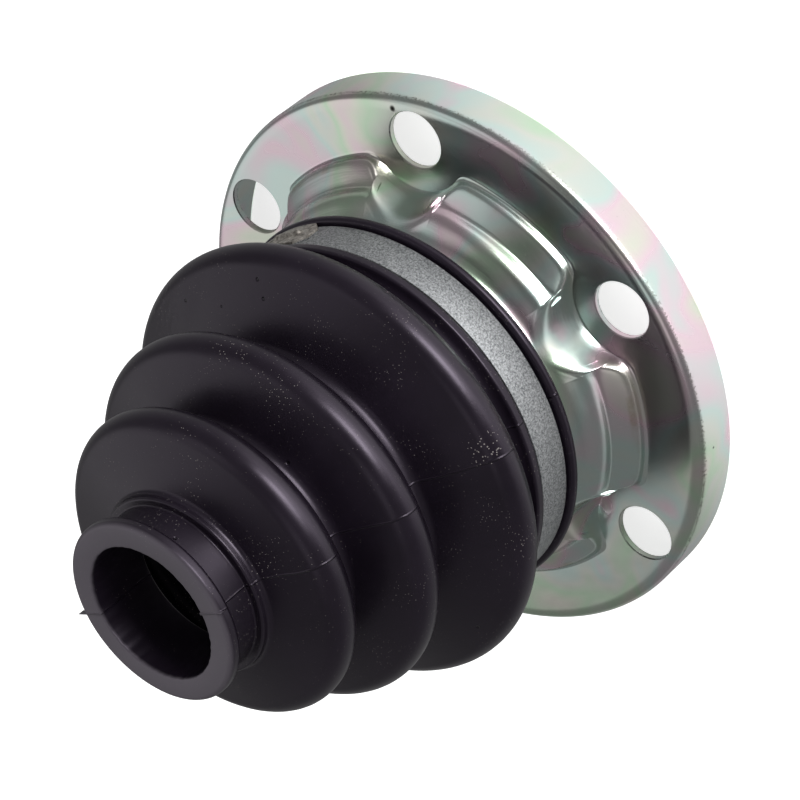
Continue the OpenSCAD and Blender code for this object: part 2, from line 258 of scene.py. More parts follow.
def seatAngle(r):
    # Angle from a bolt hole at which the seat's edge lies at this radius
    big, seat = cap["holeCircle"], cap["seatRadius"]
    return math.degrees(math.acos((big ** 2 + r ** 2 - seat ** 2) / (2 * big * r)))


cornerR = cap["lobeRadius"] - cap["lobeCorner"]
cornerReach = cap["seatRadius"] + cap["lobeCorner"]
cornerAngle = math.degrees(math.acos(
    (cap["holeCircle"] ** 2 + cornerR ** 2 - cornerReach ** 2) / (2 * cap["holeCircle"] * cornerR)))
cornerX = (cornerR * cosd(cornerAngle) - cap["holeCircle"]) * cap["seatRadius"] / cornerReach
cornerY = cornerR * sind(cornerAngle) * cap["seatRadius"] / cornerReach
seatEndAngle = math.degrees(math.atan2(cornerY, cap["holeCircle"] + cornerX))


def footRadius(angle):
    d = abs(angle - pitch * round(angle / pitch))
    if d >= cornerAngle:
        return cap["lobeRadius"]
    if d >= seatEndAngle:
        e = d - cornerAngle
        return cornerR * cosd(e) + math.sqrt(cap["lobeCorner"] ** 2 - (cornerR * sind(e)) ** 2)
    return cap["holeCircle"] * cosd(d) - math.sqrt(
        cap["seatRadius"] ** 2 - (cap["holeCircle"] * sind(d)) ** 2)


def capSection(angle):
    # From the rim over the bend, the flat face and the dome to the neck's end, as [radius, height]
    foot = footRadius(angle)
    inner = foot - reach(foot)
    lead = cap["bendLead"]
    turnOver = 90 - cap["bendLeadAngle"]
    flatEdge = cap["radius"] - cap["bend"] + (cap["bend"] - lead) * cosd(turnOver)
    bendZ = cap["faceHeight"] - lead + (lead - cap["bend"]) * sind(turnOver)
    bend = arcPoints((cap["radius"] - cap["bend"], bendZ, cap["bend"]), 0, turnOver, 9)
    bend += arcPoints((flatEdge, cap["faceHeight"] - lead, lead), turnOver, 90, 4)[1:]
    rows = [(cap["radius"], bendZ * n / 5) for n in range(5)] + bend
    rows += [(mix(flatEdge, foot, share), cap["faceHeight"]) for share in (0.03, 0.25, 0.5, 0.75, 0.93)]
    rows += [(foot + r, cap["faceHeight"] + z) for r, z in wallPath(foot)]
    over = [min(r, mix(inner, cap["neckRadius"], 0.02 * (n + 1))) for n, (r, z) in enumerate(shoulderPath)]
    rows += [(r, lookUp(r, domeTable)) for r in over]
    neckFrom = shoulderPath[-1][1]
    rows += [(cap["neckRadius"], mix(neckFrom, neckTop, n / 4)) for n in range(1, 5)]
    return rows


def capDirections():
    # Half a lobe: over the seat, through the shoulder's cuts, round the corner, along the lobe
    feet = [mix(seatFoot, cap["lobeRadius"], n / 60) for n in range(61)]
    topTable = [[foot - reach(foot), foot] for foot in feet]
    cuts = [seatAngle(lookUp(r, topTable)) for r, z in reversed(shoulderPath) if r > topTable[0][0] + 0.05]
    half = [cuts[0] * n / 8 for n in range(8)] + cuts
    turn = max(cuts[-1], seatEndAngle)
    half += [mix(turn, cornerAngle, n / 6) for n in range(1, 7)]
    half += [mix(cornerAngle, pitch / 2, n / 10) for n in range(1, 11)]
    return half + [pitch - angle for angle in reversed(half[:-1])]


rows = []
directions = capDirections()
sections = [capSection(angle) for angle in directions]
for n in range(len(sections[0])):
    rows.append([(s[n][0] * cosd(a), s[n][0] * sind(a), s[n][1])
                 for a, s in zip(directions, sections)])
flangeCap = gridPiece("flangeCap", rows)
bpy.ops.object.mode_set(mode="EDIT")
bpy.ops.mesh.select_all(action="SELECT")
bpy.ops.mesh.spin(steps=cap["holes"] - 1, dupli=True, angle=math.radians(360 - pitch),
                  center=(0, 0, 0), axis=(0, 0, 1))
bpy.ops.mesh.select_all(action="SELECT")
bpy.ops.mesh.remove_doubles(threshold=0.0002 * mm)
bpy.ops.mesh.normals_make_consistent(inside=False)
bpy.ops.object.mode_set(mode="OBJECT")
outward = sum((p.normal.dot(p.center) for p in flangeCap.data.polygons if p.center.z < 5 * mm))
print("cap skin faces", len(flangeCap.data.polygons), "outward", outward > 0)
if outward < 0:
    flangeCap.data.flip_normals()

# The press leaves the walls beside the seats softer than the lobes
softened = flangeCap.vertex_groups.new(name="softened")
for vertex in flangeCap.data.vertices:
    x, y, z = vertex.co / mm
    around = abs((math.degrees(math.atan2(y, x)) + pitch / 2) % pitch - pitch / 2)
    if z > cap["faceHeight"] + 0.02 and math.hypot(x, y) > cap["neckRadius"] + 0.1:
        weight = lookUp(around, [[cornerAngle, cap["seatWeight"]], [cornerAngle + 6, cap["lobeWeight"]]])
        softened.add([vertex.index], weight, "REPLACE")
applyModifier(flangeCap, "softened", "SMOOTH", factor=0.5, iterations=cap["passes"],
              vertex_group="softened")
applyModifier(flangeCap, "sheet", "SOLIDIFY", thickness=cap["sheet"] * mm, offset=-1)

# One punch with a flared rim, copied to each hole
half = cap["holeRadius"]
top, low = cap["faceHeight"], cap["faceHeight"] - cap["sheet"]
flare = cap["holeEdge"]
wide = half + flare * 2
punchProfile = [(0, low - flare), (wide, low - flare), (half, low + flare),
                (half, top - flare), (wide, top + flare), (0, top + flare)]
punch = spinProfile("punch", punchProfile, 64)
punch.data.transform(Matrix.Translation((cap["holeCircle"] * mm, 0, 0)))
choose(punch)
bpy.ops.object.mode_set(mode="EDIT")
bpy.ops.mesh.select_all(action="SELECT")
bpy.ops.mesh.spin(steps=cap["holes"] - 1, dupli=True, angle=math.radians(360 - pitch),
                  center=(0, 0, 0), axis=(0, 0, 1))
bpy.ops.object.mode_set(mode="OBJECT")
applyModifier(flangeCap, "boltHoles", "BOOLEAN", object=punch, operation="DIFFERENCE", solver="EXACT")
bpy.data.objects.remove(punch)
print("cap done", len(flangeCap.data.polygons))

# Bellows boot: outside and inside as one closed profile
boot = {
    "lift": 2.8, "lip": 34.6, "lipHeight": 1.7, "groove": 32.95, "grooveWidth": 7.2,
    "foldLip": 34.2, "foldLipHeight": 1.9,
    "crests": [39.2, 32.65, 27.05], "roots": [31.9, 25.5, 20.8], "rises": [19.1, 16.6, 13.3, 7.2],
    "crestRound": 3.4, "rootRound": 1.9, "rootShare": 0.56, "wall": 2.2,
    "bead": 15.8, "beadRoot": 1.0, "beadEdge": 0.45, "collar": 14.4, "collarWidth": 5.2,
    "endLip": 16.0, "endLipHeight": 2.38, "endLipEdge": 0.9, "lipEdge": 0.8, "foldLipEdge": 0.6,
    "grooveEdge": 0.3, "bore": 11.8, "mouthEdge": 0.3, "fit": 0.05,
}
bootZ = neckZ + boot["lift"]
grooveZ = bootZ + boot["lipHeight"]
grooveTop = grooveZ + boot["grooveWidth"]
foldLipTop = grooveTop + boot["foldLipHeight"]
crestZ = [bootZ + sum(boot["rises"][:n + 1]) for n in range(3)]
rootZ = [foldLipTop + boot["rootRound"]]
rootZ += [mix(crestZ[n], crestZ[n + 1], boot["rootShare"]) for n in range(2)]
beadZ = bootZ + sum(boot["rises"])
collarTop = beadZ + boot["collarWidth"]
bootTop = collarTop + boot["endLipHeight"]

folds = []
for n in range(3):
    folds.append((boot["roots"][n] + boot["rootRound"], rootZ[n], -boot["rootRound"]))
    folds.append((boot["crests"][n] - boot["crestRound"], crestZ[n], boot["crestRound"]))
bigEnd = [
    corner(boot["lip"], bootZ, -90, 0, boot["lipEdge"]),
    corner(boot["lip"], grooveZ, 0, 90, boot["lipEdge"]),
    corner(boot["groove"], grooveZ, 90, 0, -boot["grooveEdge"]),
    corner(boot["groove"], grooveTop, 0, -90, -boot["grooveEdge"]),
    corner(boot["foldLip"], grooveTop, -90, 0, boot["foldLipEdge"]),
    corner(boot["foldLip"], foldLipTop, 0, 90, boot["foldLipEdge"]),
]
smallEnd = [
    (boot["bead"] + boot["beadRoot"], beadZ - boot["beadEdge"] * 2, -boot["beadRoot"]),
    corner(boot["bead"], beadZ, 0, 90, boot["beadEdge"]),
    corner(boot["collar"], beadZ, 90, 0, -boot["grooveEdge"]),
    corner(boot["collar"], collarTop, 0, -90, -boot["grooveEdge"]),
    corner(boot["endLip"], collarTop, -90, 0, boot["lipEdge"]),
    corner(boot["endLip"], bootTop, 0, 90, boot["endLipEdge"]),
]
mouth = boot["mouthEdge"]
boreFootZ = beadZ - boot["wall"] - boot["beadRoot"] * 2
boreFoot = (boot["bore"] + mouth, boreFootZ + mouth, boot["wall"] - mouth)
outside = roundedPath(bigEnd + folds + smallEnd, -90, 90)
inside = roundedPath(folds + [boreFoot], 0, 0, boot["wall"])
seatR = cap["neckRadius"] + boot["fit"]
stepZ = neckTop + boot["fit"]
boreMouth = roundedPath([(boot["bore"] + mouth, bootTop - mouth, mouth)], 90, 180, step=30)
bootProfile = outside + boreMouth + inside[::-1]
bootProfile += [(inside[0][0], stepZ), (seatR, stepZ), (seatR, bootZ)]
bellows = spinProfile("bellowsBoot", bootProfile, 240)

# The mouth's edge is ragged where the end was trimmed
ragged = {"depth": 0.6, "height": 0.13, "scale": 0.9}
for vertex in bellows.data.vertices:
    x, y, z = vertex.co / mm
    if math.hypot(x, y) < boot["bore"] + mouth * 2 and z > bootTop - ragged["depth"]:
        push = 1 + ragged["height"] * noise.noise(Vector((x, y, z)) / ragged["scale"]) / boot["bore"]
        vertex.co.x, vertex.co.y = x * push * mm, y * push * mm

# Flash on the end lip where the mould's halves met: angle, inner and outer radius, thickness
flash = {"top": 0.11, "deep": 1.1, "fins": [(350.2, 11.72, 17.3, 0.34), (170.2, 11.72, 16.35, 0.42)]}
slivers = []
for number, (angle, near, far, thick) in enumerate(flash["fins"]):
    bpy.ops.object.select_all(action="DESELECT")
    bpy.ops.mesh.primitive_cube_add(size=mm)
    sliver = newPiece(f"flash{number + 1}")
    corners = []
    for r, halfThick in ((near, thick / 2), (far, thick / 6)):
        for side in (-1, 1):
            for z in (bootTop - flash["deep"], bootTop + flash["top"] * (1 if r == near else 0.2)):
                corners.append((r * cosd(angle) - side * halfThick * sind(angle),
                                r * sind(angle) + side * halfThick * cosd(angle), z))
    placeVertices(sliver, corners)
    applyModifier(sliver, "edges", "BEVEL", width=0.04 * mm, segments=2)
    slivers.append(sliver)
choose(bellows, *slivers)
bpy.ops.object.join()
print("boot done", len(bellows.data.polygons))

# Clamp band: a ring with its end lapped over it
band = {
    "width": 6.3, "thick": 0.6, "edge": 0.15, "tipAt": 255.8, "tailAngle": 46.0, "rampAngle": 12.0,
    "chamfer": 1.9, "ribLength": 5.0, "ribRadius": 0.75, "ribFromTip": 3.4, "holeRadius": 0.65,
}
bandZ = (grooveZ + grooveTop) / 2
bandIn = boot["groove"] + boot["fit"]
bandOut = bandIn + band["thick"]
tailOut = bandOut + band["thick"]
halfWidth = band["width"] / 2
bandProfile = roundedPath([
    corner(bandOut, bandZ - halfWidth, -90, 0, band["edge"]),
    corner(bandOut, bandZ + halfWidth, 0, 90, band["edge"]),
    corner(bandIn, bandZ + halfWidth, 90, 180, band["edge"]),
    corner(bandIn, bandZ - halfWidth, 180, 270, band["edge"]),
], -90, 270, step=30)
clampBand = spinProfile("clampBand", bandProfile, 240)


def tailLift(along):
    # The lap comes down to the ring over the ramp, beyond the strip's inner end
    share = (along - (band["tailAngle"] - band["rampAngle"])) / band["rampAngle"]
    share = min(1, max(0, share))
    return band["thick"] * (1 - share * share * (3 - 2 * share))


def ribLift(x, y):
    # Pressed rib along the strip's middle, x from its near end
    beyond = max(0, -x, x - band["ribLength"])
    d = math.hypot(beyond, y) / band["ribRadius"]
    return band["ribRadius"] * 0.75 * math.sqrt(max(0, 1 - d * d))


perDegree = math.radians(1) * tailOut
tailRows = []
acrossCount, alongCount = 40, 150
for n in range(acrossCount + 1):
    y = mix(-halfWidth, halfWidth, n / acrossCount)
    row = []
    start = max(0, abs(y) - (halfWidth - band["chamfer"])) / perDegree
    for m in range(alongCount + 1):
        along = mix(start, band["tailAngle"], (m / alongCount) ** 1.4)
        lift = tailLift(along) + ribLift(along * perDegree - band["ribFromTip"], y)
        a = band["tipAt"] + along
        row.append(((bandOut + lift) * cosd(a), (bandOut + lift) * sind(a), bandZ + y))
    tailRows.append(row)
tail = gridPiece("clampTail", tailRows)
centre = tail.data.polygons[0]
if centre.normal.dot(centre.center) < 0:
    tail.data.flip_normals()
applyModifier(tail, "strip", "SOLIDIFY", thickness=band["thick"] * 0.98 * mm, offset=-1)
applyModifier(tail, "edges", "BEVEL", width=0.12 * mm, segments=2, limit_method="ANGLE",
              angle_limit=math.radians(50))
# Tool hole beside the rib, through the lap alone
bpy.ops.mesh.primitive_cylinder_add(vertices=40, radius=band["holeRadius"] * mm,
                                    depth=band["thick"] * 2 * mm)
drill = newPiece("drill")
beyondRib = band["ribFromTip"] + band["ribLength"] + band["ribRadius"] + band["holeRadius"] * 2
holeAngle = band["tipAt"] + beyondRib / perDegree
toHole = Vector((cosd(holeAngle), sind(holeAngle), 0))
turned = toHole.to_track_quat("Z", "Y").to_matrix().to_4x4()
lapMiddle = toHole * (bandOut + band["thick"] * 1.02) + Vector((0, 0, bandZ))
drill.data.transform(Matrix.Translation(lapMiddle * mm) @ turned)
applyModifier(tail, "toolHole", "BOOLEAN", object=drill, operation="DIFFERENCE", solver="EXACT")
bpy.data.objects.remove(drill)
choose(clampBand, tail)
bpy.ops.object.join()
print("band done", len(clampBand.data.polygons))

# Satin moulded rubber: near black with a violet cast. Noise breaks up its sheen, dust and pits lie
# on it, the mould's two halves meet in a fine raised line, and the trimmed end face is a dull grey.
rubberLook = {
    "deep": "#0b080d", "worn": "#1a141e", "dust": "#9a9490", "trimmed": "#4a464c",
    "glossTint": "#f4e6fb",
    # Larger pits, as (x, y, z, radius), and a patch of loose dust
    "pits": [(-12.6, -33.1, 43.0, 0.42), (5.6, -34.2, 43.4, 0.36), (-3.3, -31.5, 44.6, 0.26),
             (-30.0, 14.5, 21.8, 0.3)],
    "dusty": (-37.4, 4.3, 42.0, 4.0), "scuffed": (12.3, -34.4, 42.6, 6.5),
    # Near black painted shade inside the pits
    "pitWithShade": "#050406", "trimmedFrom": bootTop - 0.7,
    "partingAngle": 170.2, "partingWidth": 0.24, "partingHeight": 0.12,
}
rubberMaterial, tree = newMaterial("mouldedRubber")
place = addNode(tree, "TexCoord").outputs["Object"]
cloud = addNode(tree, "TexNoise", {"Scale": 70.0, "Detail": 4.0, "Roughness": 0.6}, {"Vector": place})
body = addNode(tree, "Mix",
               {"data_type": "RGBA", 6: hexColour(rubberLook["deep"]), 7: hexColour(rubberLook["worn"])},
               {0: cloud.outputs["Fac"]})
# Trimmed end face
split = addNode(tree, "SeparateXYZ", links={"Vector": place})
endFace = addNode(tree, "MapRange", {"From Min": rubberLook["trimmedFrom"] * mm, "From Max": bootTop * mm},
                  {"Value": split.outputs["Z"]})
body = addNode(tree, "Mix", {"data_type": "RGBA", 7: hexColour(rubberLook["trimmed"])},
               {0: endFace.outputs[0], 6: body.outputs[2]})
# Dust: specks where a cell's centre lies close under the surface, thicker in patches
specks = addNode(tree, "TexVoronoi", {"Scale": 1900.0}, {"Vector": place})
patches = addNode(tree, "TexNoise", {"Scale": 130.0, "Detail": 3.0}, {"Vector": place})
reachOut = addNode(tree, "MapRange", {"From Min": 0.4, "From Max": 0.75, "To Min": 0.03, "To Max": 0.17},
                   {"Value": patches.outputs["Fac"]})
loose = nearSpot(tree, place, rubberLook["dusty"])
reachOut = addNode(tree, "Math", {"operation": "MULTIPLY_ADD", 1: 0.2}, {0: loose, 2: reachOut.outputs[0]})
dust = addNode(tree, "Math", {"operation": "LESS_THAN"},
               {0: specks.outputs["Distance"], 1: reachOut.outputs[0]})
dustShare = addNode(tree, "Math", {"operation": "MULTIPLY", 1: 0.5}, {0: dust.outputs[0]})
body = addNode(tree, "Mix", {"data_type": "RGBA", 7: hexColour(rubberLook["dust"])},
               {0: dustShare.outputs[0], 6: body.outputs[2]})
# Pits: dented by the bump below, and darkened with painted shade
pits = addNode(tree, "TexVoronoi", {"Scale": 115.0}, {"Vector": place})
pitWithShade = addNode(tree, "MapRange", {"interpolation_type": "SMOOTHSTEP", "From Min": 0.02, "From Max": 0.045,
                                 "To Min": 1.0, "To Max": 0.0}, {"Value": pits.outputs["Distance"]})
for spot in rubberLook["pits"]:
    pitWithShade = addNode(tree, "Math", {"operation": "MAXIMUM"},
                  {0: pitWithShade.outputs[0], 1: nearSpot(tree, place, spot)})
body = addNode(tree, "Mix", {"data_type": "RGBA", 7: hexColour(rubberLook["pitWithShade"])},
               {0: pitWithShade.outputs[0], 6: body.outputs[2]})
# Parting line, a little wavy, on the plane through the axis
a = rubberLook["partingAngle"]
off = addNode(tree, "VectorMath", {"operation": "DOT_PRODUCT", 1: (-sind(a), cosd(a), 0)}, {0: place})
sway = addNode(tree, "TexNoise", {"Scale": 160.0, "Detail": 2.0}, {"Vector": place})
sway = addNode(tree, "MapRange", {"To Min": -0.35 * mm, "To Max": 0.35 * mm},
               {"Value": sway.outputs["Fac"]})
off = addNode(tree, "Math", {"operation": "ADD"}, {0: off.outputs["Value"], 1: sway.outputs[0]})
off = addNode(tree, "Math", {"operation": "ABSOLUTE"}, {0: off.outputs[0]})
parting = addNode(tree, "MapRange",
                  {"interpolation_type": "SMOOTHSTEP", "From Max": rubberLook["partingWidth"] * mm,
                                     "To Min": 1.0, "To Max": 0.0}, {"Value": off.outputs[0]})
# Heights in millimetres
grain = addNode(tree, "TexNoise", {"Scale": 1300.0, "Detail": 3.0, "Roughness": 0.7}, {"Vector": place})
height = addNode(tree, "Math", {"operation": "MULTIPLY", 1: 0.009}, {0: grain.outputs["Fac"]})
height = addNode(tree, "Math", {"operation": "MULTIPLY_ADD", 1: 0.03},
                 {0: patches.outputs["Fac"], 2: height.outputs[0]})
height = addNode(tree, "Math", {"operation": "MULTIPLY_ADD", 1: -0.12},
                 {0: pitWithShade.outputs[0], 2: height.outputs[0]})
# A scuffed patch, its strokes along the axis
combed = addNode(tree, "VectorMath", {"operation": "MULTIPLY", 1: (1, 1, 0.2)}, {0: place})
strokes = addNode(tree, "TexNoise", {"Scale": 900.0, "Detail": 2.0}, {"Vector": combed.outputs[0]})
scuff = addNode(tree, "Math", {"operation": "MULTIPLY"},
                {0: strokes.outputs["Fac"], 1: nearSpot(tree, place, rubberLook["scuffed"])})
height = addNode(tree, "Math", {"operation": "MULTIPLY_ADD", 1: 0.09},
                 {0: scuff.outputs[0], 2: height.outputs[0]})
height = addNode(tree, "Math", {"operation": "MULTIPLY_ADD", 1: rubberLook["partingHeight"]},
                 {0: parting.outputs[0], 2: height.outputs[0]})
relief = addNode(tree, "Bump", {"Strength": 1.0, "Distance": mm}, {"Height": height.outputs[0]})
sheen = addNode(tree, "MapRange", {"From Min": 0.3, "From Max": 0.7, "To Min": 0.28, "To Max": 0.38},
                {"Value": cloud.outputs["Fac"]})
sheen = addNode(tree, "Math", {"operation": "MULTIPLY_ADD", 1: 0.35},
                {0: dust.outputs[0], 2: sheen.outputs[0]})
sheen = addNode(tree, "Math", {"operation": "MULTIPLY_ADD", 1: 0.12},
                {0: endFace.outputs[0], 2: sheen.outputs[0]})
surface = addNode(tree, "BsdfPrincipled",
                  {"IOR": 1.45, "Specular Tint": hexColour(rubberLook["glossTint"])}, {
    "Base Color": body.outputs[2], "Roughness": sheen.outputs[0], "Normal": relief.outputs[0]})
addNode(tree, "OutputMaterial", links={"Surface": surface.outputs[0]})

# Zinc flake coating on the band: fine light and dark flakes in a dull grey. The lapped tail is bare
# of it, a mottled brown grey.
flakeLook = {"dark": "#606265", "light": "#b0b2b3", "tailDark": "#5c5751", "tailLight": "#bdb8b0"}
flakeMaterial, tree = newMaterial("zincFlakeSteel")
place = addNode(tree, "TexCoord").outputs["Object"]
flakes = addNode(tree, "TexNoise", {"Scale": 3000.0, "Detail": 2.0, "Roughness": 0.8}, {"Vector": place})
flake = addNode(tree, "MapRange", {"From Min": 0.34, "From Max": 0.66}, {"Value": flakes.outputs["Fac"]})
coat = addNode(tree, "Mix",
               {"data_type": "RGBA", 6: hexColour(flakeLook["dark"]), 7: hexColour(flakeLook["light"])},
               {0: flake.outputs[0]})
mottle = addNode(tree, "TexNoise", {"Scale": 900.0, "Detail": 4.0, "Roughness": 0.75}, {"Vector": place})
mottled = addNode(tree, "MapRange", {"From Min": 0.35, "From Max": 0.65}, {"Value": mottle.outputs["Fac"]})
bare = addNode(tree, "Mix", {"data_type": "RGBA", 6: hexColour(flakeLook["tailDark"]),
                             7: hexColour(flakeLook["tailLight"])}, {0: mottled.outputs[0]})
flat = addNode(tree, "VectorMath", {"operation": "MULTIPLY", 1: (1, 1, 0)}, {0: place})
fromAxis = addNode(tree, "VectorMath", {"operation": "LENGTH"}, {0: flat.outputs[0]})
onTail = addNode(tree, "MapRange", {"From Min": (bandOut + 0.1) * mm, "From Max": (bandOut + 0.25) * mm},
                 {"Value": fromAxis.outputs["Value"]})
coat = addNode(tree, "Mix", {"data_type": "RGBA"},
               {0: onTail.outputs[0], 6: coat.outputs[2], 7: bare.outputs[2]})
height = addNode(tree, "Math", {"operation": "MULTIPLY", 1: 0.012}, {0: flakes.outputs["Fac"]})
height = addNode(tree, "Math", {"operation": "MULTIPLY_ADD", 1: 0.02},
                 {0: mottle.outputs["Fac"], 2: height.outputs[0]})
relief = addNode(tree, "Bump", {"Strength": 1.0, "Distance": mm}, {"Height": height.outputs[0]})
dull = addNode(tree, "MapRange", {"To Min": 0.42, "To Max": 0.6}, {"Value": flake.outputs[0]})
surface = addNode(tree, "BsdfPrincipled", {"Metallic": 0.85}, {
    "Base Color": coat.outputs[2], "Roughness": dull.outputs[0], "Normal": relief.outputs[0]})
addNode(tree, "OutputMaterial", links={"Surface": surface.outputs[0]})

# Zinc plate with a clear chromate film: satin bright, with pale pink, green and straw bands in slow
# drifts, fine rolling grain, a brown stain along the lobes' feet and grit under the bend
zincLook = {
    "bands": ["#d3d3c8", "#c0d6be", "#d0d3cb", "#c4d5d0", "#dcc6cf"], "cycles": 3,
    "stain": "#a89473", "grit": "#55544c", "nick": "#1b1a18",
    "nicks": [(-20.7, -43.3, 8.4, 0.75), (-41.9, 27.2, 5.1, 0.3)],
}
zincMaterial, tree = newMaterial("zincPlatedSteel")
place = addNode(tree, "TexCoord").outputs["Object"]
drift = addNode(tree, "TexNoise", {"Scale": 48.0, "Detail": 2.0, "Roughness": 0.45, "Distortion": 0.6},
                {"Vector": place})
film = addNode(tree, "ValToRGB", links={"Fac": drift.outputs["Fac"]})
stops = film.color_ramp.elements
count = len(zincLook["bands"]) * zincLook["cycles"]
for n in range(1, count):
    stops.new(n / count)
for n, stop in enumerate(stops):
    stop.color = hexColour(zincLook["bands"][n % len(zincLook["bands"])])
flat = addNode(tree, "VectorMath", {"operation": "MULTIPLY", 1: (1, 1, 0)}, {0: place})
fromAxis = addNode(tree, "VectorMath", {"operation": "LENGTH"}, {0: flat.outputs[0]})
height = addNode(tree, "SeparateXYZ", links={"Vector": place})
# Stain where the lobes' walls round over
nearFoot = addNode(tree, "Math", {"operation": "SUBTRACT", 1: (cap["lobeRadius"] - 0.75) * mm},
                   {0: fromAxis.outputs["Value"]})
nearFoot = addNode(tree, "Math", {"operation": "ABSOLUTE"}, {0: nearFoot.outputs[0]})
nearFoot = addNode(tree, "MapRange",
                   {"interpolation_type": "SMOOTHSTEP", "From Min": 0.2 * mm, "From Max": 0.7 * mm,
                                      "To Min": 1.0, "To Max": 0.0}, {"Value": nearFoot.outputs[0]})
aboveFace = addNode(tree, "Math", {"operation": "GREATER_THAN", 1: (cap["faceHeight"] + 0.3) * mm},
                    {0: height.outputs["Z"]})
blotch = addNode(tree, "TexNoise", {"Scale": 90.0, "Detail": 5.0, "Roughness": 0.7}, {"Vector": place})
blotch = addNode(tree, "MapRange", {"From Min": 0.5, "From Max": 0.68}, {"Value": blotch.outputs["Fac"]})
stain = addNode(tree, "Math", {"operation": "MULTIPLY"}, {0: nearFoot.outputs[0], 1: aboveFace.outputs[0]})
stain = addNode(tree, "Math", {"operation": "MULTIPLY"}, {0: stain.outputs[0], 1: blotch.outputs[0]})
stain = addNode(tree, "Math", {"operation": "MULTIPLY", 1: 0.55}, {0: stain.outputs[0]})
tint = addNode(tree, "Mix", {"data_type": "RGBA", 7: hexColour(zincLook["stain"])},
               {0: stain.outputs[0], 6: film.outputs["Color"]})
# Grit below the bend, on the skirt
belowBend = addNode(tree, "Math", {"operation": "SUBTRACT", 1: (cap["faceHeight"] - 1.1) * mm},
                    {0: height.outputs["Z"]})
belowBend = addNode(tree, "Math", {"operation": "ABSOLUTE"}, {0: belowBend.outputs[0]})
belowBend = addNode(tree, "MapRange",
                    {"From Min": 0.1 * mm, "From Max": 0.55 * mm, "To Min": 0.5, "To Max": 0.3},
                    {"Value": belowBend.outputs[0]})
sand = addNode(tree, "TexNoise", {"Scale": 2600.0, "Detail": 3.0, "Roughness": 0.8}, {"Vector": place})
grit = addNode(tree, "Math", {"operation": "LESS_THAN"}, {0: sand.outputs["Fac"], 1: belowBend.outputs[0]})
grit = addNode(tree, "Math", {"operation": "MULTIPLY", 1: 0.6}, {0: grit.outputs[0]})
tint = addNode(tree, "Mix", {"data_type": "RGBA", 7: hexColour(zincLook["grit"])},
               {0: grit.outputs[0], 6: tint.outputs[2]})
for spot in zincLook["nicks"]:
    tint = addNode(tree, "Mix", {"data_type": "RGBA", 7: hexColour(zincLook["nick"])},
                   {0: nearSpot(tree, place, spot), 6: tint.outputs[2]})
rolled = addNode(tree, "TexNoise", {"Scale": 1700.0, "Detail": 3.0, "Roughness": 0.7}, {"Vector": place})
uneven = addNode(tree, "TexNoise", {"Scale": 120.0, "Detail": 2.0}, {"Vector": place})
stretched = addNode(tree, "VectorMath", {"operation": "MULTIPLY", 1: (1, 1, 60)}, {0: place})
drawn = addNode(tree, "TexNoise", {"Scale": 45.0, "Detail": 3.0, "Roughness": 0.6},
                {"Vector": stretched.outputs[0]})
relief = addNode(tree, "Math", {"operation": "MULTIPLY", 1: 0.0025}, {0: rolled.outputs["Fac"]})
relief = addNode(tree, "Math", {"operation": "MULTIPLY_ADD", 1: 0.012},
                 {0: drawn.outputs["Fac"], 2: relief.outputs[0]})
relief = addNode(tree, "Math", {"operation": "MULTIPLY_ADD", 1: 0.05},
                 {0: uneven.outputs["Fac"], 2: relief.outputs[0]})
relief = addNode(tree, "Bump", {"Strength": 1.0, "Distance": mm}, {"Height": relief.outputs[0]})
satin = addNode(tree, "MapRange", {"From Min": 0.3, "From Max": 0.7, "To Min": 0.2, "To Max": 0.3},
                {"Value": drift.outputs["Fac"]})
satin = addNode(tree, "Math", {"operation": "MULTIPLY_ADD", 1: 0.3},
                {0: grit.outputs[0], 2: satin.outputs[0]})
surface = addNode(tree, "BsdfPrincipled", {"Metallic": 1.0}, {
    "Base Color": tint.outputs[2], "Roughness": satin.outputs[0], "Normal": relief.outputs[0]})
addNode(tree, "OutputMaterial", links={"Surface": surface.outputs[0]})

finishPiece(flangeCap, zincMaterial, "cap_steel", 35, "flange_cap")
finishPiece(bellows, rubberMaterial, "boot_rubber", 35, "bellows_boot")
finishPiece(clampBand, flakeMaterial, "band_steel", 35, "clamp_band")

# Camera as in the photograph: beside and above, rolled over
lens = {
    "place": (-0.391735, -0.098640, 0.338949),
    "right": (-0.61694, 0.50371, -0.60470),
    "down": (0.19666, 0.84265, 0.50127),
    "forward": (0.76204, 0.19034, -0.61892),
    "focalPixels": 3150.0, "framePixels": 800.0, "sensor": 36.0,
}
bpy.ops.object.camera_add()
camera = bpy.context.active_object
camera.name = "camera"
right, down, forward = (Vector(lens[k]) for k in ("right", "down", "forward"))
turn = Matrix((right, -down, -forward)).transposed().to_4x4()
camera.matrix_world = Matrix.Translation(lens["place"]) @ turn
camera.data.sensor_width = lens["sensor"]
camera.data.lens = lens["focalPixels"] / lens["framePixels"] * lens["sensor"]
camera.data.clip_start = 0.01
bpy.context.scene.camera = camera

